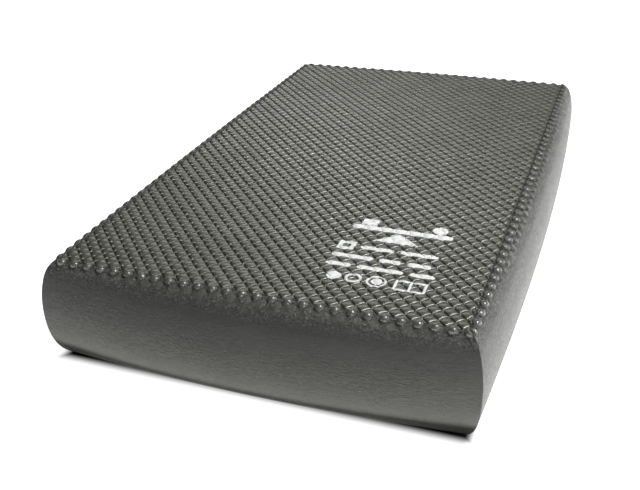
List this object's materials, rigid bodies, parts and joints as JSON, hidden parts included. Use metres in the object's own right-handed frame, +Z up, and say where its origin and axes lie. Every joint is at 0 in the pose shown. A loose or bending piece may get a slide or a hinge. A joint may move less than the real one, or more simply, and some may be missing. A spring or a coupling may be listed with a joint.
{
  "type": "balance pad",
  "caption": "Rectangular foam balance pad with a diamond-embossed standing face, rolled edges and mitred, outward-swelling sides.",
  "frame": {"origin": "centre of the underside, on the floor", "axes": "+X across the pad's width, +Y along its length with the printed marks at the -Y end, +Z up through the standing face"},
  "size_m": [0.25, 0.41, 0.06],
  "materials": {
    "foam_core": "fine closed-cell foam, matte",
    "tread_skin": "compact foam skin embossed with diamond nubs, satin",
    "side_skin": "compact foam skin with a fine leather-like grain, satin",
    "base_skin": "compact foam skin embossed with diamond nubs, matte",
    "print_ink": "thin white screen-printed ink"
  },
  "bodies": {
    "root": {"foam_core": "foam_core", "top_skin": "tread_skin", "bottom_skin": "base_skin", "edge_skin_right": "side_skin", "edge_skin_back": "side_skin", "edge_skin_left": "side_skin", "edge_skin_front": "side_skin", "print_wedge": "print_ink", "print_beam": "print_ink", "print_block": "print_ink", "print_ball": "print_ink", "print_square": "print_ink", "print_dash_a1": "print_ink", "print_dash_a2": "print_ink", "print_dash_b1": "print_ink", "print_dash_b2": "print_ink", "print_dash_b3": "print_ink", "print_dash_c1": "print_ink", "print_dash_c2": "print_ink", "print_dash_c3": "print_ink", "print_disc": "print_ink", "print_ring": "print_ink", "print_dot_ring": "print_ink", "print_dot": "print_ink", "print_frame": "print_ink"}
  },
  "joints": []
}
